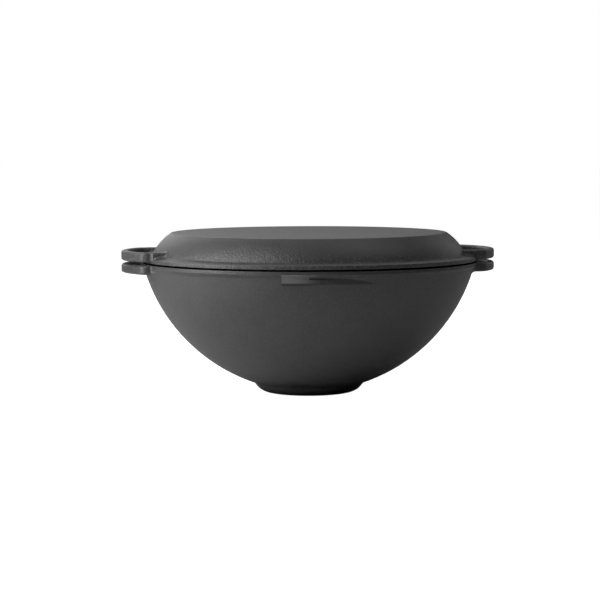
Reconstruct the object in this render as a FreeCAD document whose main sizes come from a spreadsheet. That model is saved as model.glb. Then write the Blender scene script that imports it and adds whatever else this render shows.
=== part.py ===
import FreeCAD, Part
import math
import os
import re

import Sketcher

# Cast iron wok with a pan lid, in millimetres.
# Origin: the middle of the foot's flat underside. +Z is up and the loop
# handles lie along X. The lid is a shallow frying pan laid upside down on
# the bowl. Both rims meet in the seam plane, and the lid's own heights are
# measured up from there.

SIZES = {
    # Bowl: outside it is part of a sphere that rises from the foot pad.
    "rim_radius": (180.6, "outside of both rims"),
    "bowl_height": (140.6, "foot underside up to the seam plane"),
    "pole_height": (0.6, "lowest point of the outside sphere"),
    "bowl_wall": (4.5, "wall of the bowl"),
    "band_height": (3.8, "upright rim band below the seam"),
    "band_step": (4.0, "how far the band stands proud of the sphere"),
    "band_slope": (3.2, "height of the sloped step under the band"),
    "band_edge_fillet": (1.6, "rounding of the band's lower edge"),
    "band_cove_fillet": (5.0, "hollow fillet between band and sphere"),
    "foot_radius": (51.0, "flat underside of the foot pad, before its edge is rounded"),
    "foot_flare": (8.5, "how much wider the pad is where it meets the sphere"),
    "foot_edge_fillet": (18.0, "rounding of the pad's lower edge"),
    "foot_cove_fillet": (4.0, "hollow fillet between pad and sphere"),
    "rim_edge_fillet": (0.6, "rounding of both rims beside the seam"),
    "mouth_edge_fillet": (1.2, "rounding of both mouths"),
    # Loop handles: a bowed bar on two arms, the lid's right above the bowl's.
    "arm_length": (7.9, "straight stretch of an arm, from its flare to the bowed front"),
    "loop_depth": (20.5, "how far the front bows out from the ends of the arms"),
    "loop_half_width": (56.0, "middle of a handle to the outside of an arm"),
    "loop_corner": (10.0, "outside corner between front and arm"),
    "opening_corner": (4.5, "inside corner between front and arm"),
    "flare_lead": (0.8, "how far outside the rim the flare starts"),
    "flare_fillet": (4.0, "hollow rounding of the flare"),
    "bowl_flare_width": (12.0, "how much wider each arm of the bowl is at its root"),
    "lid_flare_width": (2.5, "how much wider each arm of the lid is at its root"),
    "bar_width": (8.2, "width of the bar seen from above"),
    "bar_edge_fillet": (2.4, "rounding along the bar"),
    "root_fillet": (2.4, "hollow fillet where an arm meets the bowl"),
    "bowl_grip_drop": (0.6, "seam plane down to the top of the bowl's handles"),
    "bowl_grip_thickness": (9.2, "height of the bowl's handles"),
    "lid_grip_rise": (3.0, "seam plane up to the underside of the lid's handles"),
    "lid_grip_thickness": (10.4, "height of the lid's handles"),
    # Gate remains: the casting gate under the front rim, ground down to a step
    # that stands proud at its left end and fades into the bowl at its right.
    "gate_shift": (9.0, "how far left of the middle the axis of the gate face lies"),
    "gate_left_angle": (13.2, "front to the left end, about that axis"),
    "gate_notch_angle": (4.3, "front to the notch beside the left end"),
    "gate_right_angle": (19.5, "front to the right end"),
    "gate_inset": (0.8, "gate face back from the rim at its left end"),
    "gate_drop": (8.0, "seam plane down to the top of the gate right of the notch"),
    "gate_height": (6.2, "height of the gate right of the notch"),
    "gate_fillet": (1.2, "rounding of the gate's lower edge"),
    # Lid: a shallow pan, upside down.
    "lid_height": (31.2, "seam plane up to the flat top"),
    "flange_width": (12.2, "rim in to the foot of the side"),
    "flange_edge_rise": (5.8, "height of the flange at its outer edge"),
    "flange_top_fillet": (1.2, "rounding of the flange's upper edge"),
    "side_foot_rise": (7.0, "seam plane up to the foot of the side"),
    "side_lean": (20.9, "foot of the side in to the edge of the flat top"),
    "side_bulge": (2.3, "how far the side bows out from its chord"),
    "side_cove_fillet": (3.0, "hollow fillet between side and flange"),
    "base_edge_fillet": (2.4, "rounding between side and flat top"),
    "lid_wall": (4.5, "wall of the pan"),
    "lid_corner_fillet": (7.0, "inside corner of the pan"),
    # Seam: the rims touch on a narrow seat and stand apart outside it.
    "seam_gap": (1.8, "height of the open slot outside the seat"),
    "seam_depth": (3.0, "rim in to the seat"),
    # Locating ring: keeps the lid from sliding off the bowl.
    "ring_drop": (3.0, "height of the ring below the seam plane"),
    "ring_width": (3.6, "width of the ring"),
    "ring_clearance": (1.2, "gap between the ring and the mouth of the bowl"),
}

WORKED = {
    # The sphere runs through its lowest point and the foot of the rim band.
    "belly_radius": "rim_radius - band_step",
    "belly_height": "bowl_height - band_height - band_slope",
    "belly_rise": "belly_height - pole_height",
    "sphere_radius": "(belly_radius ^ 2 + belly_rise ^ 2) / (2 * belly_rise)",
    "sphere_height": "pole_height + sphere_radius",
    "foot_joint_radius": "foot_radius + foot_flare",
    "foot_joint_height": "sphere_height - sqrt(sphere_radius ^ 2 - foot_joint_radius ^ 2)",
    "hollow_radius": "sphere_radius - bowl_wall",
    "mouth_radius": "sqrt(hollow_radius ^ 2 - (sphere_height - bowl_height) ^ 2)",
    # The pan's side is an arc, given by its chord and its bulge.
    "seat_radius": "rim_radius - seam_depth",
    "side_foot_radius": "rim_radius - flange_width",
    "base_radius": "side_foot_radius - side_lean",
    "side_rise": "lid_height - side_foot_rise",
    "side_chord": "sqrt(side_lean ^ 2 + side_rise ^ 2)",
    "side_radius": "(side_chord ^ 2 / 4 + side_bulge ^ 2) / (2 * side_bulge)",
    "lid_mouth_radius": "side_foot_radius - lid_wall",
    # The front of a loop handle is an arc, given by its chord and its depth.
    "loop_bow": "(loop_half_width ^ 2 + loop_depth ^ 2) / (2 * loop_depth)",
    "flare_start": "sqrt(rim_radius ^ 2 - loop_half_width ^ 2) + flare_lead",
    "loop_shoulder": "flare_start + arm_length",
    "loop_centre": "loop_shoulder + loop_depth - loop_bow",
    "opening_bow": "loop_bow - bar_width",
    "opening_half_width": "loop_half_width - bar_width",
    "opening_shoulder": "loop_centre + sqrt(opening_bow ^ 2 - opening_half_width ^ 2)",
    "opening_start": "rim_radius / 2",
    # The gate face is round an axis of its own, so its distance from the bowl's
    # axis changes along it. It is set by the left end.
    "gate_left_cosine": "cos(gate_left_angle * 1deg)",
    "gate_left_sine": "sin(gate_left_angle * 1deg)",
    "gate_reach": "rim_radius - gate_inset",
    "gate_offset": "gate_shift * gate_left_cosine",
    "gate_radius": "sqrt(gate_reach ^ 2 - gate_offset ^ 2) - gate_shift * gate_left_sine",
    "ring_level": "sphere_height - bowl_height + ring_drop",
    "ring_outside": "sqrt(hollow_radius ^ 2 - ring_level ^ 2) - ring_clearance",
    "ring_inside": "ring_outside - ring_width",
}

CLOSE = 1e-3


def formula(text):
    """Turns the plain names in a formula into references to the two sheets."""

    def reference(match):
        name = match.group(0)
        if name in SIZES:
            return "Sizes." + name
        if name in WORKED:
            return "Worked." + name
        return name

    return re.sub(r"[a-z]+(?:_[a-z]+)+", reference, text)


def fill_sheets(doc):
    sizes = doc.addObject("Spreadsheet::Sheet", "Sizes")
    for row, (name, (value, meaning)) in enumerate(SIZES.items(), start=1):
        sizes.set(f"A{row}", meaning)
        sizes.set(f"B{row}", str(value))
        sizes.setAlias(f"B{row}", name)
    doc.recompute()
    worked = doc.addObject("Spreadsheet::Sheet", "Worked")
    for row, (name, text) in enumerate(WORKED.items(), start=1):
        worked.set(f"B{row}", "=" + formula(text))
        worked.setAlias(f"B{row}", name)
        doc.recompute()


def value_of(doc, text):
    return float(doc.getObject("Sizes").evalExpression(formula(text)))


def origin_part(body, role):
    return next(item for item in body.Origin.OriginFeatures if item.Role == role)


def tie(sketch, constraint, name, text):
    """Adds a constraint and binds its value to a formula."""
    index = sketch.addConstraint(constraint)
    sketch.renameConstraint(index, name)
    sketch.setExpression("Constraints." + name, formula(text))


def place_corner(sketch, edge, end, label, corner, spot):
    """Fixes one end of an edge at its two formulas, or on an axis."""
    for axis, text, distance, kind in zip((-2, -1), corner, spot, ("DistanceX", "DistanceY")):
        if abs(distance) < CLOSE:
            sketch.addConstraint(Sketcher.Constraint("PointOnObject", edge, end, axis))
        else:
            constraint = Sketcher.Constraint(kind, -1, 1, edge, end, distance)
            tie(sketch, constraint, f"{label}_{kind}", text)


def draw_outline(doc, body, role, name, corners, arcs=None, rounds=None, lift=None):
    """Draws a closed outline of lines and arcs through corners given as formulas.

    arcs maps the number of a corner to the radius of the arc that starts
    there, and every arc runs anticlockwise. rounds maps the number of a
    corner to the radius that rounds it.
    """
    sketch = body.newObject("Sketcher::SketchObject", name)
    sketch.AttachmentSupport = [(origin_part(body, role), "")]
    sketch.MapMode = "FlatFace"
    if lift:
        sketch.setExpression("AttachmentOffset.Base.z", formula(lift))
    add_wire(doc, sketch, name, corners, arcs or {}, rounds or {})
    return sketch


def add_wire(doc, sketch, label, corners, arcs, rounds):
    spots = [tuple(value_of(doc, text) for text in corner) for corner in corners]
    edges = []
    for number, start in enumerate(spots):
        end = spots[(number + 1) % len(spots)]
        first = FreeCAD.Vector(*start, 0)
        last = FreeCAD.Vector(*end, 0)
        if number in arcs:
            edges.append(add_arc(doc, sketch, f"{label}_{number}", first, last, arcs[number]))
        else:
            edges.append(sketch.addGeometry(Part.LineSegment(first, last), False))
    for number, edge in enumerate(edges):
        following = edges[(number + 1) % len(edges)]
        sketch.addConstraint(Sketcher.Constraint("Coincident", edge, 2, following, 1))
        place_corner(sketch, edge, 1, f"{label}_{number}", corners[number], spots[number])
    for number, radius_text in rounds.items():
        corner = FreeCAD.Vector(*spots[number], 0)
        meeting = (edges[number - 1], edges[number])
        round_corner(doc, sketch, f"{label}_{number}_round", meeting, corner, radius_text)


def add_arc(doc, sketch, label, first, last, radius_text):
    radius = value_of(doc, radius_text)
    half = (last - first) * 0.5
    inward = FreeCAD.Vector(-half.y, half.x, 0).normalize()
    centre = first + half + inward * math.sqrt(radius ** 2 - half.Length ** 2)
    start_angle = math.atan2(first.y - centre.y, first.x - centre.x)
    end_angle = math.atan2(last.y - centre.y, last.x - centre.x)
    circle = Part.Circle(centre, FreeCAD.Vector(0, 0, 1), radius)
    edge = sketch.addGeometry(Part.ArcOfCircle(circle, start_angle, end_angle), False)
    tie(sketch, Sketcher.Constraint("Radius", edge, radius), f"{label}_radius", radius_text)
    return edge


def mark_near(curve, corner, distance):
    """Gives a point on a curve at a distance along it from its end at a corner."""
    start = curve.FirstParameter
    end = curve.LastParameter
    nearest = curve.parameter(corner)
    step = distance / curve.length() * (end - start)
    at_start = abs(nearest - start) < abs(nearest - end)
    return curve.value(nearest + step if at_start else nearest - step)


def round_corner(doc, sketch, label, meeting, corner, radius_text):
    """Rounds a corner of an outline, keeps the corner itself, and ties the radius."""
    radius = value_of(doc, radius_text)
    marks = [mark_near(sketch.Geometry[edge], corner, radius) for edge in meeting]
    count = sketch.GeometryCount
    sketch.fillet(*meeting, *marks, radius, True, True)
    added = range(count, sketch.GeometryCount)
    arc = next(edge for edge in added if sketch.Geometry[edge].TypeId == "Part::GeomArcOfCircle")
    tie(sketch, Sketcher.Constraint("Radius", arc, radius), label, radius_text)


def spin(doc, body, kind, name, sketch, turn="360"):
    """Turns an outline about the upright axis, as added or removed metal."""
    feature = body.newObject(kind, name)
    feature.Profile = sketch
    feature.ReferenceAxis = (sketch, ["V_Axis"])
    feature.Midplane = True
    feature.setExpression("Angle", formula(turn))
    doc.recompute()
    return feature


def round_edges(doc, body, name, radius_text, wanted):
    """Rounds the edges of the body so far that a test picks out."""
    base = body.Tip
    names = [f"Edge{number}" for number, edge in enumerate(base.Shape.Edges, start=1) if wanted(edge)]
    fillet = body.newObject("PartDesign::Fillet", name)
    fillet.Base = (base, names)
    fillet.setExpression("Radius", formula(radius_text))
    doc.recompute()
    return fillet


def middle_of(edge):
    return edge.valueAt((edge.FirstParameter + edge.LastParameter) / 2)


def reach_of(point):
    """Gives a point's distance from the upright axis."""
    return math.hypot(point.x, point.y)


def lies_flat(edge):
    return edge.BoundBox.ZLength < CLOSE


def is_circle(edge, radius, height):
    """Tells whether an edge runs round the upright axis at a radius and height."""
    if edge.Degenerated or not lies_flat(edge) or abs(edge.BoundBox.ZMin - height) > CLOSE:
        return False
    points = (edge.valueAt(edge.FirstParameter), middle_of(edge), edge.valueAt(edge.LastParameter))
    return all(abs(reach_of(point) - radius) < CLOSE for point in points)


def round_circle(doc, body, name, fillet_text, radius_text, height_text):
    radius = value_of(doc, radius_text)
    height = value_of(doc, height_text)
    return round_edges(doc, body, name, fillet_text, lambda edge: is_circle(edge, radius, height))


def add_grips(doc, body, bottom_text, thickness_text, flare_text):
    """Starts a body with both loop handles, as one slab whose middle is hollowed later."""
    quarter = [
        ("loop_shoulder", "loop_half_width"),
        ("flare_start", "loop_half_width"),
        (f"(flare_start - {flare_text})", f"(loop_half_width + {flare_text})"),
    ]
    outside = []
    for along, across in (("", ""), ("-", ""), ("-", "-"), ("", "-")):
        corners = [(f"{along}{x_text}", f"{across}{y_text}") for x_text, y_text in quarter]
        outside += corners if along == across else corners[::-1]
    opening = [
        ("opening_start", "-opening_half_width"),
        ("opening_shoulder", "-opening_half_width"),
        ("opening_shoulder", "opening_half_width"),
        ("opening_start", "opening_half_width"),
    ]
    arcs = {5: "loop_bow", 11: "loop_bow"}
    rounds = dict.fromkeys((0, 5, 6, 11), "loop_corner") | dict.fromkeys((1, 4, 7, 10), "flare_fillet")
    sketch = draw_outline(doc, body, "XY_Plane", "GripPlan", outside, arcs, rounds, bottom_text)
    rounds = dict.fromkeys(range(4), "opening_corner")
    for side, sign in (("Right", ""), ("Left", "-")):
        turned = [(f"{sign}({along})", f"{sign}({across})") for along, across in opening]
        add_wire(doc, sketch, side, turned, {1: "opening_bow"}, rounds)
    pad = body.newObject("PartDesign::Pad", "Grips")
    pad.Profile = sketch
    pad.setExpression("Length", formula(thickness_text))
    doc.recompute()
    return round_edges(doc, body, "BarEdges", "bar_edge_fillet", lies_flat)


def touches(shell, point):
    return shell.distToShape(Part.Vertex(point))[0] < CLOSE


def round_roots(doc, body, grips, casting):
    """Fills the corners where the arms of the handles leave the casting."""
    grip_shell = Part.Compound(grips.Shape.Faces)
    casting_shell = Part.Compound(casting.AddSubShape.Faces)
    grip_box = grips.Shape.BoundBox
    outer = value_of(doc, "rim_radius")

    def is_root(edge):
        if edge.Degenerated:
            return False
        middle = middle_of(edge)
        below_top = grip_box.isInside(middle) and middle.z < grip_box.ZMax - CLOSE
        if not below_top or reach_of(middle) > outer + CLOSE:
            return False
        return touches(grip_shell, middle) and touches(casting_shell, middle)

    return round_edges(doc, body, "ArmRoots", "root_fillet", is_root)


def make_bowl(doc):
    body = doc.addObject("PartDesign::Body", "wok_bowl")
    body.Label = "wok_bowl"
    grip_bottom = "bowl_height - bowl_grip_drop - bowl_grip_thickness"
    grips = add_grips(doc, body, grip_bottom, "bowl_grip_thickness", "bowl_flare_width")
    outside = [
        ("0", "0"),
        ("foot_radius", "0"),
        ("foot_joint_radius", "foot_joint_height"),
        ("belly_radius", "belly_height"),
        ("rim_radius", "bowl_height - band_height"),
        ("rim_radius", "bowl_height"),
        ("0", "bowl_height"),
    ]
    rounds = {
        1: "foot_edge_fillet",
        2: "foot_cove_fillet",
        3: "band_cove_fillet",
        4: "band_edge_fillet",
        5: "rim_edge_fillet",
    }
    profile = draw_outline(doc, body, "XZ_Plane", "BowlProfile", outside, {2: "sphere_radius"}, rounds)
    casting = spin(doc, body, "PartDesign::Revolution", "BowlOutside", profile)
    round_roots(doc, body, grips, casting)
    add_gate(doc, body)
    hollow = [
        ("0", "sphere_height - hollow_radius"),
        ("mouth_radius", "bowl_height"),
        ("0", "bowl_height"),
    ]
    cavity = draw_outline(doc, body, "XZ_Plane", "HollowProfile", hollow, {0: "hollow_radius"})
    spin(doc, body, "PartDesign::Groove", "BowlHollow", cavity)
    round_circle(doc, body, "MouthEdge", "mouth_edge_fillet", "mouth_radius", "bowl_height")
    return body


def add_gate(doc, body):
    """Adds the remains of the casting gate, a ground step under the front rim."""
    bottom = "bowl_height - gate_drop - gate_height"
    add_sector(doc, body, "Gate", bottom, "bowl_height - gate_drop", "-gate_left_angle", "gate_right_angle")
    inside_band = "bowl_height - band_height / 2"
    add_sector(doc, body, "GateEnd", bottom, inside_band, "-gate_left_angle", "-gate_notch_angle")


def add_sector(doc, body, name, bottom, top, start_angle, end_angle):
    """Adds a step round the gate's own axis, between two angles from the front."""
    outline = [
        ("-belly_radius + band_step", bottom),
        ("-belly_radius + band_step", top),
        ("-gate_radius", top),
        ("-gate_radius", bottom),
    ]
    profile = draw_outline(doc, body, "YZ_Plane", name + "Profile", outline, {}, {3: "gate_fillet"}, "-gate_shift")
    middle = f"({start_angle} + {end_angle}) / 2"
    profile.AttachmentOffset = FreeCAD.Placement(
        profile.AttachmentOffset.Base, FreeCAD.Rotation(FreeCAD.Vector(0, 1, 0), value_of(doc, middle))
    )
    profile.setExpression("AttachmentOffset.Rotation.Angle", formula(middle))
    spin(doc, body, "PartDesign::Revolution", name, profile, f"{end_angle} - ({start_angle})")


def make_lid(doc):
    body = doc.addObject("PartDesign::Body", "lid_pan")
    body.Label = "lid_pan"
    add_grips(doc, body, "bowl_height + lid_grip_rise", "lid_grip_thickness", "lid_flare_width")
    side_foot = "bowl_height + side_foot_rise"
    top = "bowl_height + lid_height"
    outside = [
        ("0", "bowl_height"),
        ("seat_radius", "bowl_height"),
        ("seat_radius", "bowl_height + seam_gap"),
        ("rim_radius", "bowl_height + seam_gap"),
        ("rim_radius", "bowl_height + flange_edge_rise"),
        ("side_foot_radius", side_foot),
        ("base_radius", top),
        ("0", top),
    ]
    rounds = {
        3: "rim_edge_fillet",
        4: "flange_top_fillet",
        5: "side_cove_fillet",
        6: "base_edge_fillet",
    }
    profile = draw_outline(doc, body, "XZ_Plane", "LidProfile", outside, {5: "side_radius"}, rounds)
    spin(doc, body, "PartDesign::Revolution", "LidOutside", profile)
    ring = [
        ("ring_inside", "bowl_height - ring_drop"),
        ("ring_outside", "bowl_height - ring_drop"),
        ("ring_outside", "bowl_height + lid_wall"),
        ("ring_inside", "bowl_height + lid_wall"),
    ]
    ring_profile = draw_outline(doc, body, "XZ_Plane", "RingProfile", ring, {}, {1: "mouth_edge_fillet"})
    spin(doc, body, "PartDesign::Revolution", "LocatingRing", ring_profile)
    hollow = [
        ("0", "bowl_height"),
        ("lid_mouth_radius", "bowl_height"),
        ("lid_mouth_radius", side_foot),
        ("base_radius - lid_wall", f"{top} - lid_wall"),
        ("0", f"{top} - lid_wall"),
    ]
    arcs = {2: "side_radius"}
    rounds = {3: "lid_corner_fillet"}
    cavity = draw_outline(doc, body, "XZ_Plane", "HollowProfile", hollow, arcs, rounds)
    spin(doc, body, "PartDesign::Groove", "LidHollow", cavity)
    round_circle(doc, body, "MouthEdge", "mouth_edge_fillet", "lid_mouth_radius", "bowl_height")
    return body


def check_features(doc):
    """Stops the build where a feature failed, or where it left the metal as it was."""
    failed = [item.Name for item in doc.Objects if {"Invalid", "Error"} & set(item.State)]
    if failed:
        raise SystemExit(f"failed: {', '.join(failed)}")
    for body in doc.findObjects("PartDesign::Body"):
        volume = 0
        for feature in body.Group:
            if not feature.isDerivedFrom("PartDesign::Feature"):
                continue
            print(f"{body.Label} {feature.Name}: {feature.Shape.Volume / 1000:.2f} cubic cm")
            if abs(feature.Shape.Volume - volume) < CLOSE:
                raise SystemExit(f"{feature.Name} changed nothing")
            volume = feature.Shape.Volume


def export(body):
    shape = body.Shape
    if shape.isNull() or not shape.isValid() or len(shape.Solids) != 1:
        raise SystemExit(f"{body.Label} is not one valid solid")
    shape.exportStep(f"parts/{body.Label}.step")


def main():
    doc = FreeCAD.newDocument("CastIronWok")
    fill_sheets(doc)
    bodies = [make_bowl(doc), make_lid(doc)]
    doc.recompute()
    check_features(doc)
    os.makedirs("parts", exist_ok=True)
    for body in bodies:
        export(body)


main()
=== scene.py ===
# %% [markdown]
# # A cast iron wok under its pan lid
# The wok is two iron castings: a round-bottomed bowl on a small flat foot, and a
# shallow pan laid upside down on it as a lid. Both come from the CAD model and
# are left as they are. This lesson adds the rest: the view, the finish of bare
# sand-cast iron, the soft coves at the roots of the handles, and the light.

# %% Load the two castings
import math

import bpy
from mathutils import Matrix, Vector


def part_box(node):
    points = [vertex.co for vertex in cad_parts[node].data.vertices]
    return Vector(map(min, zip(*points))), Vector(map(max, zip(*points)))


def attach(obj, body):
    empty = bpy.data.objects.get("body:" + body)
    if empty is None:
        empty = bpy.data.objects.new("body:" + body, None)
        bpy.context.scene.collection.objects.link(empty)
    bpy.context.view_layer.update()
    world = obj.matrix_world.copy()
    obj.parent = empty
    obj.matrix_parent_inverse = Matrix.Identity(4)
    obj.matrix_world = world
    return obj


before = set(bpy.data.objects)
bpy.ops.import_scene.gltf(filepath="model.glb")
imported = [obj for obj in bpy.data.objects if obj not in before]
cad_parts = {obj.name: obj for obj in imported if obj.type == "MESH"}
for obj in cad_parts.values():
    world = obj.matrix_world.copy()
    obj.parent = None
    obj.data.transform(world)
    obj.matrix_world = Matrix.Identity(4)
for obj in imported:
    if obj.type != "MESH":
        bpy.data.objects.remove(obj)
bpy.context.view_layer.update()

MM = 0.001
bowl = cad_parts["wok_bowl"]
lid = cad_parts["lid_pan"]
SEAM_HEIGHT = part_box("wok_bowl")[1].z
TOP_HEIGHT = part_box("lid_pan")[1].z
RIM_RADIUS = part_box("wok_bowl")[1].y
print(f"seam at {SEAM_HEIGHT:.4f} m, top at {TOP_HEIGHT:.4f} m")
print(f"rim radius {RIM_RADIUS:.4f} m")

# %% [markdown]
# ## The view
# The photograph was taken from far off with a long lens, a little above the rim:
# the lid's top shows as a thin ellipse, and the handles point a few degrees off
# the picture's plane. A long lens keeps both sides of the bowl nearly the same
# size, so distance, tilt and focal length are set together.

# %% Set up the camera
CAMERA_DISTANCE = 2.121
CAMERA_HEIGHT = 0.2691
CAMERA_ASIDE = 0.0096
CAMERA_AZIMUTH = math.radians(-7.0)
CAMERA_PITCH = math.radians(4.6)
CAMERA_ROLL = math.radians(-0.142)
IMAGE_WIDTH = 600
FOCAL_PIXELS = 1975.2
SENSOR_WIDTH = 36.0

camera_data = bpy.data.cameras.new("camera")
camera_data.sensor_width = SENSOR_WIDTH
camera_data.lens = FOCAL_PIXELS / IMAGE_WIDTH * SENSOR_WIDTH
camera = bpy.data.objects.new("camera", camera_data)
bpy.context.scene.collection.objects.link(camera)
bpy.context.scene.camera = camera
bpy.context.scene.view_settings.view_transform = "Standard"

turn = Matrix.Rotation(CAMERA_AZIMUTH, 4, "Z")
tilt = Matrix.Rotation(math.radians(90) - CAMERA_PITCH, 4, "X")
roll = Matrix.Rotation(CAMERA_ROLL, 4, "Z")
place = Matrix.Translation((-CAMERA_ASIDE, -CAMERA_DISTANCE, CAMERA_HEIGHT))
camera.matrix_world = turn @ place @ tilt @ roll
print(f"lens {camera_data.lens:.1f} mm")

# %% [markdown]
# ## Shader maths that reads like maths
# A finish is built from masks and noise, which are sums and products of sockets.
# Wrapping a socket in a small class lets Python's own operators add the Math
# nodes, so `1 - mask` is a node too and the formula stays in sight.


# %% Wrap a socket
class Value:
    """One output socket of a material. Python's operators on it add Math nodes."""

    def __init__(self, tree, socket=None):
        self.tree = tree
        self.socket = socket

    def node(self, kind, inputs, output=0, **settings):
        """Adds any node: its settings first, then its inputs' values or links."""
        made = self.tree.nodes.new(kind)
        for name, value in settings.items():
            setattr(made, name, value)
        for name, value in inputs.items():
            if isinstance(value, Value):
                self.tree.links.new(value.socket, made.inputs[name])
            else:
                made.inputs[name].default_value = value
        return Value(self.tree, made.outputs[output] if made.outputs else None)

    def maths(self, operation, *values):
        """Adds one Math node."""
        return self.node("ShaderNodeMath", dict(enumerate(values)), operation=operation)

    def __add__(self, other):
        return self.maths("ADD", self, other)

    __radd__ = __add__

    def __sub__(self, other):
        return self.maths("SUBTRACT", self, other)

    def __rsub__(self, other):
        return self.maths("SUBTRACT", other, self)

    def __mul__(self, other):
        return self.maths("MULTIPLY", self, other)

    __rmul__ = __mul__

    def ramp(self, start, end):
        """Climbs smoothly from 0 where the value is start to 1 where it is end."""
        inputs = {"Value": self, "From Min": start, "From Max": end}
        return self.node("ShaderNodeMapRange", inputs, interpolation_type="SMOOTHSTEP")

    def band(self, start, end, soft):
        """Is 1 from start to end, and falls to 0 over a soft edge outside both."""
        return self.ramp(start - soft, start) * (1 - self.ramp(end, end + soft))

    def noise(self, size, detail, roughness=0.5):
        """Cloudy noise from 0 to 1, with clouds about so many metres wide."""
        inputs = {"Vector": self, "Scale": 1 / size}
        inputs.update({"Detail": detail, "Roughness": roughness})
        return self.node("ShaderNodeTexNoise", inputs)

    def tint(self, dark, light):
        """Mixes two colours, dark where the value is 0 and light where it is 1."""
        inputs = {0: self, 6: dark, 7: light}
        return self.node("ShaderNodeMix", inputs, output=2, data_type="RGBA")

    def bump(self, height, below=None):
        """Turns a value from 0 to 1 into relief of so many metres."""
        inputs = {"Height": self, "Distance": height}
        if below:
            inputs["Normal"] = below
        return self.node("ShaderNodeBump", inputs)


def new_finish(name):
    """Gives a new material and its Object coordinates, in the wok's own metres."""
    material = bpy.data.materials.new(name)
    material.use_nodes = True
    material.node_tree.nodes.clear()
    start = Value(material.node_tree)
    return material, start.node("ShaderNodeTexCoord", {}, output="Object")


print("shader maths ready")

# %% [markdown]
# ## Where a point lies
# The wok is round, so what changes over it changes with height, with radius and
# with the bearing from the front. Masks could be painted or read from a map, but
# these three, worked out from the point itself, need no unwrapping.


# %% Read a place on the wok
class Place:
    """A point's height, its radius and its bearing from the front."""

    def __init__(self, point):
        vector = "ShaderNodeVectorMath"
        flat = point.node(vector, {0: point, 1: (1, 1, 0)}, operation="MULTIPLY")
        self.radius = point.node(vector, {0: flat}, "Value", operation="LENGTH")
        split = "ShaderNodeSeparateXYZ"
        x, y, self.height = (point.node(split, {0: point}, axis) for axis in "XYZ")
        self.bearing = x.maths("ARCTAN2", x, 0 - y)


print("places ready")

# %% [markdown]
# ## Bare cast iron
# The castings come out of green sand, so their skin is a print of packed grains:
# a fine, even tooth with a softer waviness under it. Iron like this is dark grey
# and neither dull nor shiny. It scatters most of the light, and near the edges,
# where one looks along it, it picks up a pale sheen from the room. A scanned skin
# would need unwrapping. Relief from two sizes of noise keeps its true size on
# every part, and faint clouds vary colour and gloss. Pale colour on the tips of
# the grains is a painted highlight, standing in for glints, more on the lid than
# on the bowl.

# %% Make the sand-cast skin
GRAIN_SIZE = 2.2 * MM
GRAIN_DETAIL = 2.0
GRAIN_ROUGHNESS = 0.6
GRAIN_SHARE = 0.3
WAVE_SIZE = 14 * MM
WAVE_DETAIL = 2.0
WAVE_RELIEF = 0.25 * MM
CLOUD_SIZE = 30 * MM
CLOUD_DETAIL = 4.0
CLOUD_SHARE = 0.7
TONE_START = 0.3
TONE_END = 0.7
GLINT_START = 0.48
GLINT_END = 0.72
IRON_DARK = (0.050, 0.050, 0.051, 1)
IRON_LIGHT = (0.068, 0.068, 0.069, 1)
# Colour of the painted glints on the grain tips, a painted highlight.
IRON_GLINT = (0.18, 0.18, 0.18, 1)
ROUGH_LOW = 0.40
ROUGH_RANGE = 0.12


def sand_skin(point, relief, glint_share, smooth):
    """Gives colour, roughness and relief, without grain where smooth is 1."""
    clouds = point.noise(CLOUD_SIZE, CLOUD_DETAIL)
    grain = point.noise(GRAIN_SIZE, GRAIN_DETAIL, GRAIN_ROUGHNESS) * (1 - smooth)
    waves = point.noise(WAVE_SIZE, WAVE_DETAIL).bump(WAVE_RELIEF)
    cloud_tone = clouds.ramp(TONE_START, TONE_END) * CLOUD_SHARE
    tone = cloud_tone + grain.ramp(TONE_START, TONE_END) * GRAIN_SHARE
    # Painted glints: pale grain tips stand in for sparkling highlights.
    painted_glints = grain.ramp(GLINT_START, GLINT_END) * glint_share
    color = painted_glints.tint(tone.tint(IRON_DARK, IRON_LIGHT), IRON_GLINT)
    return color, ROUGH_LOW + clouds * ROUGH_RANGE, grain.bump(relief, waves)


print("sand-cast skin ready")

# %% [markdown]
# ## Painted shade in the open joint
# The lid stands a hair's breadth proud of the bowl's rim, and the narrow slot
# between them reads as a black line. No light gets far into it. The slot itself
# is in the castings. Shade alone leaves it grey where a lamp looks in, so black is
# painted on its walls as shade, placed by height and radius, and keeps it black
# from every side.

# %% Blacken the joint
IRON_IOR = 1.8
SLOT_HEIGHT = 2.0 * MM
JOINT_SHADE_START = RIM_RADIUS - 0.5 * MM
JOINT_SHADE_END = RIM_RADIUS - 0.3 * MM
JOINT_SHADE_SOFT = 0.2 * MM
JOINT_SHADE_COLOR = (0.002, 0.002, 0.002, 1)


def finish_iron(place, color, roughness, normal):
    """Ties the parts of a finish to one surface, with painted shade in the joint."""
    inputs = {"Base Color": color, "Roughness": roughness, "Normal": normal}
    iron = color.node("ShaderNodeBsdfPrincipled", {**inputs, "IOR": IRON_IOR})
    # Painted shade: a black sheet on the joint's walls, where shade falls.
    joint_shade = color.node("ShaderNodeBsdfDiffuse", {"Color": JOINT_SHADE_COLOR})
    low, high = SEAM_HEIGHT - JOINT_SHADE_SOFT / 2, SEAM_HEIGHT + SLOT_HEIGHT
    joint = place.height.band(low, high, JOINT_SHADE_SOFT)
    inside = 1 - place.radius.ramp(JOINT_SHADE_START, JOINT_SHADE_END)
    surface = color.node("ShaderNodeMixShader", {0: joint * inside, 1: iron, 2: joint_shade})
    surface.node("ShaderNodeOutputMaterial", {"Surface": surface})


print("soot ready")
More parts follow.
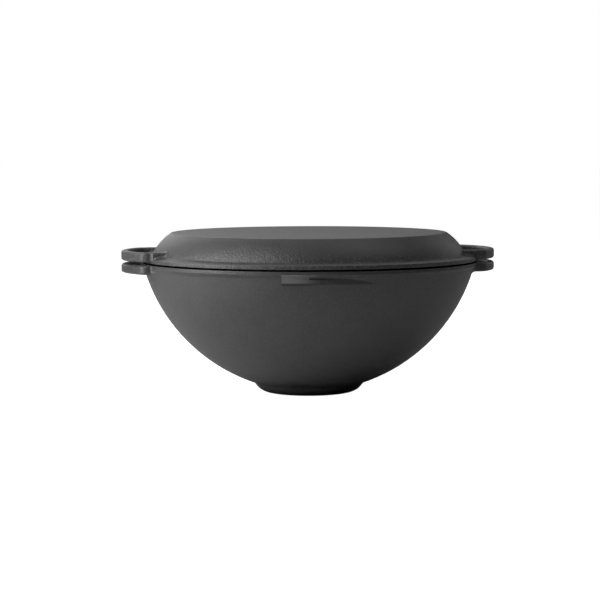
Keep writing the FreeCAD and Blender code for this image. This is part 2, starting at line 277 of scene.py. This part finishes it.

# %% [markdown]
# ## The bowl and its ground gate
# Iron entered the mould under the front rim. What was left there was ground off,
# which bared smoother metal. The thick left part of the stub is painted brighter,
# partly as bared metal and partly as a painted highlight where its face turns to
# the lamps, and a painted shadow lies under its edge. The patch could be a slot
# of its own, but then it would end at an edge. A mask of bearing and height over
# the stub fades it out towards the right.

# %% Finish the bowl
BOWL_RELIEF = 0.4 * MM
BOWL_GLINT_SHARE = 0.12
GROUND_START = math.radians(-15.6)
GROUND_SIDE_SOFT = math.radians(0.8)
GROUND_FADE_START = math.radians(-12.5)
GROUND_FADE_END = math.radians(-1.5)
GROUND_LOW = SEAM_HEIGHT - 11.2 * MM
GROUND_HIGH = SEAM_HEIGHT - 3.6 * MM
GROUND_SOFT = 0.8 * MM
# Colour of the stub's patch: partly ground metal, partly painted highlight.
GROUND_AND_HIGHLIGHT_IRON = (0.23, 0.23, 0.23, 1)
# Painted shadow: a dark band under the stub's lower edge.
STUB_SHADOW_LOW = SEAM_HEIGHT - 14.6 * MM
STUB_SHADOW_HIGH = SEAM_HEIGHT - 12.9 * MM
STUB_SHADOW_COLOR = (0.018, 0.018, 0.018, 1)

bowl_iron, point = new_finish("sand_cast_bowl")
place = Place(point)
left_edge = place.bearing.ramp(GROUND_START - GROUND_SIDE_SOFT, GROUND_START)
across = left_edge * (1 - place.bearing.ramp(GROUND_FADE_START, GROUND_FADE_END))
# Brighter patch over the stub: partly ground metal, partly painted highlight.
ground_and_highlight = across * place.height.band(GROUND_LOW, GROUND_HIGH, GROUND_SOFT)
# Painted shadow under the stub, darkening the colour below its edge.
stub_shadow = across * place.height.band(STUB_SHADOW_LOW, STUB_SHADOW_HIGH, GROUND_SOFT)
color, roughness, normal = sand_skin(point, BOWL_RELIEF, BOWL_GLINT_SHARE, ground_and_highlight)
color = stub_shadow.tint(ground_and_highlight.tint(color, GROUND_AND_HIGHLIGHT_IRON), STUB_SHADOW_COLOR)
finish_iron(place, color, roughness, normal)
bowl.data.materials.clear()
bowl.data.materials.append(bowl_iron)
print(f"{bowl.name}: {bowl_iron.name}")

# %% [markdown]
# ## The turned top and the worn side
# The lid's flat top is the pan's base, faced on a lathe so that it sits flat on a
# hob. The tool leaves fine rings round the middle. They could be cut as grooves,
# but they are only hundredths of a millimetre deep. A ring is the same all the way
# round, so its relief is noise read along the radius alone. The lid's side is
# smoother and paler towards the top, as if worn, and keeps its grain low down.

# %% Finish the lid
LID_RELIEF = 0.8 * MM
LID_GLINT_SHARE = 0.6
WEAR = 0.55
WEAR_LOW = SEAM_HEIGHT + 10 * MM
WEAR_HIGH = SEAM_HEIGHT + 24 * MM
WORN_IRON = (0.090, 0.090, 0.091, 1)
TURNED_LOW = TOP_HEIGHT - 0.4 * MM
TURNED_HIGH = TOP_HEIGHT - 0.2 * MM
RING_SIZE = 6.0 * MM
RING_DETAIL = 3.0
RING_ROUGHNESS = 0.7
RING_RELIEF = 0.05 * MM
RING_TONE_START = 0.35
RING_TONE_END = 0.65
TURNED_DARK = (0.076, 0.076, 0.077, 1)
TURNED_LIGHT = (0.108, 0.108, 0.109, 1)

lid_iron, point = new_finish("sand_cast_lid")
place = Place(point)
turned = place.height.ramp(TURNED_LOW, TURNED_HIGH)
worn = place.height.ramp(WEAR_LOW, WEAR_HIGH) * WEAR
calm = turned + worn * (1 - turned)
color, roughness, normal = sand_skin(point, LID_RELIEF, LID_GLINT_SHARE, calm)
color = worn.tint(color, WORN_IRON)
along = point.node("ShaderNodeCombineXYZ", {"X": place.radius})
rings = along.noise(RING_SIZE, RING_DETAIL, RING_ROUGHNESS)
ring_tone = rings.ramp(RING_TONE_START, RING_TONE_END)
color = turned.tint(color, ring_tone.tint(TURNED_DARK, TURNED_LIGHT))
normal = (rings * turned).bump(RING_RELIEF, normal)
finish_iron(place, color, roughness, normal)
lid.data.materials.clear()
lid.data.materials.append(lid_iron)
print(f"{lid.name}: {lid_iron.name}")

# %% [markdown]
# ## Coves where the arms run into the walls
# A casting has no sharp inner corner, because sand breaks away there and iron is
# weakest. The handles' arms therefore swell softly into the curved walls. Fillets
# are hard to build where a flared arm meets a wall that curves away from it, so
# the shape comes from the castings themselves: a block of each round an arm's root
# is copied, rebuilt from small cells and smoothed. Smoothing sinks its outer edges
# into the wall, where they don't show, and lets it stand out in the corners.

# %% Grow the coves
COVE_WELD = 0.001 * MM
COVE_CELL = 1.1 * MM
COVE_PASSES = 60
COVE_STEP = 0.5
COVE_SINK = 0.06 * MM
# Nearest and farthest corner of a block: along the handles, across, up from the seam.
LID_BLOCK = Vector((138, 38, 3.2)) * MM, Vector((172, 68, 17)) * MM
BOWL_BLOCK = Vector((150, 34, -26)) * MM, Vector((182, 72, -3)) * MM


def add_modifier(piece, kind, **settings):
    """Adds one modifier and applies it at once."""
    made = piece.modifiers.new(kind.lower(), kind)
    for name, value in settings.items():
        setattr(made, name, value)
    bpy.context.view_layer.objects.active = piece
    bpy.ops.object.modifier_apply(modifier=made.name)


def merged_copy(casting, name):
    """Copies a casting and welds its loose triangles into one skin."""
    welded = casting.copy()
    welded.data = casting.data.copy()
    welded.name = name
    bpy.context.scene.collection.objects.link(welded)
    bpy.ops.object.select_all(action="DESELECT")
    bpy.context.view_layer.objects.active = welded
    welded.select_set(True)
    bpy.ops.object.mode_set(mode="EDIT")
    bpy.ops.mesh.select_all(action="SELECT")
    bpy.ops.mesh.remove_doubles(threshold=COVE_WELD)
    bpy.ops.object.mode_set(mode="OBJECT")
    return welded


def grow_cove(name, casting, block, side, end):
    """Softens a block of a casting, at one side (-1 or 1) and one end (-1 or 1)."""
    cove = merged_copy(casting, name)
    near, far = block
    middle = (near + far) / 2
    centre = (side * middle.x, end * middle.y, SEAM_HEIGHT + middle.z)
    bpy.ops.mesh.primitive_cube_add(size=1, location=centre, scale=far - near)
    box = bpy.context.object
    add_modifier(cove, "BOOLEAN", operation="INTERSECT", object=box, solver="EXACT")
    bpy.data.objects.remove(box)
    add_modifier(cove, "REMESH", mode="VOXEL", voxel_size=COVE_CELL)
    add_modifier(cove, "SMOOTH", factor=COVE_STEP, iterations=COVE_PASSES)
    add_modifier(cove, "DISPLACE", strength=-COVE_SINK, mid_level=0)
    cove.data.shade_smooth()
    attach(cove, "root")
    print(f"{name}: {len(cove.data.polygons)} faces")


for side, side_name in ((-1, "left"), (1, "right")):
    for end, end_name in ((-1, "front"), (1, "back")):
        corner = f"{side_name}_{end_name}"
        grow_cove(f"lid_cove_{corner}", lid, LID_BLOCK, side, end)
        grow_cove(f"bowl_cove_{corner}", bowl, BOWL_BLOCK, side, end)

# %% [markdown]
# ## The paper and the room
# The picture is a cut-out on pure white, so the camera sees the floor and the room
# behind it white all over. To every other ray the floor is plain pale paper that
# throws the lamps' light back up under the bowl, and it is dark close round the
# foot, where the wok stands in its own shade. Lit paper alone would turn grey away
# from the lamps. The room gives no light of its own.

# %% Lay the floor and whiten the room
FLOOR_SIZE = 40
FLOOR_GAP = 0.1 * MM
FLOOR_SHADE = (0, 0, 0, 1)
FLOOR_PALE = (0.85, 0.85, 0.85, 1)
SHADE_START = 44 * MM
SHADE_END = 76 * MM
WHITE = (1, 1, 1, 1)


def camera_white(value, kind):
    """Adds a shader that glows pure white, to the camera's own rays only."""
    seen = value.node("ShaderNodeLightPath", {}, "Is Camera Ray")
    return value.node(kind, {"Color": WHITE, "Strength": seen})


bpy.ops.object.select_all(action="DESELECT")
bpy.ops.mesh.primitive_plane_add(size=FLOOR_SIZE, location=(0, 0, -FLOOR_GAP))
floor = bpy.context.object
floor.name = "floor"
paper, point = new_finish("paper")
shade = Place(point).radius.ramp(SHADE_START, SHADE_END)
floor_color = shade.tint(FLOOR_SHADE, FLOOR_PALE)
bounce = point.node("ShaderNodeBsdfDiffuse", {"Color": floor_color})
glow = camera_white(point, "ShaderNodeEmission")
front = point.node("ShaderNodeAddShader", {0: bounce, 1: glow})
clear = point.node("ShaderNodeBsdfTransparent", {})
from_below = point.node("ShaderNodeNewGeometry", {}, "Backfacing")
surface = point.node("ShaderNodeMixShader", {0: from_below, 1: front, 2: clear})
surface.node("ShaderNodeOutputMaterial", {"Surface": surface})
floor.data.materials.append(paper)

world = bpy.data.worlds.new("room")
bpy.context.scene.world = world
world.use_nodes = True
world.node_tree.nodes.clear()
air = camera_white(Value(world.node_tree), "ShaderNodeBackground")
air.node("ShaderNodeOutputWorld", {"Surface": air})
print(f"{floor.name}: {FLOOR_SIZE} m of {paper.name}, in a white {world.name}")

# %% [markdown]
# ## The lamps
# Broad, soft lamps light the wok from all round. Three small, near ones on the
# left model the bowl and the lid's side, brightest where they face them. Large,
# far ones behind light the lid's flat top, which reflects them towards the camera,
# and carry both edges. One lamp could do for a plain bowl, but it would leave the
# right side black, where the photograph still shows grey.

# %% Hang the lamps
LAMP_TARGET = Vector((0, 0, 0.09))
# Degrees round from the front, degrees up, metres away, metres wide, watts.
LAMPS = {
    "key": (-72, 11, 0.85, 0.40, 1.95),
    "left": (-82, 30, 0.95, 0.45, 2.4),
    "upper": (-55, 45, 0.95, 0.45, 1.45),
    "back_left": (-160, 25, 2.2, 1.3, 6.2),
    "back": (180, 50, 2.2, 1.3, 6.5),
    "back_low": (180, 20, 2.2, 1.3, 1.2),
    "right": (130, 20, 2.2, 1.3, 2.8),
    "above": (70, 62, 2.2, 1.3, 4.5),
}
for name, (azimuth, elevation, distance, size, power) in LAMPS.items():
    data = bpy.data.lights.new(name, "AREA")
    data.shape = "SQUARE"
    data.size = size
    data.energy = power
    lamp = bpy.data.objects.new(name, data)
    bpy.context.scene.collection.objects.link(lamp)
    around, up = math.radians(azimuth), math.radians(elevation)
    level = Vector((math.sin(around), -math.cos(around), 0)) * math.cos(up)
    outward = level + Vector((0, 0, math.sin(up)))
    lamp.location = LAMP_TARGET + outward * distance
    lamp.visible_camera = False
    lamp.rotation_mode = "QUATERNION"
    lamp.rotation_quaternion = outward.to_track_quat("Z", "Y")
print(f"lamps: {', '.join(LAMPS)}")
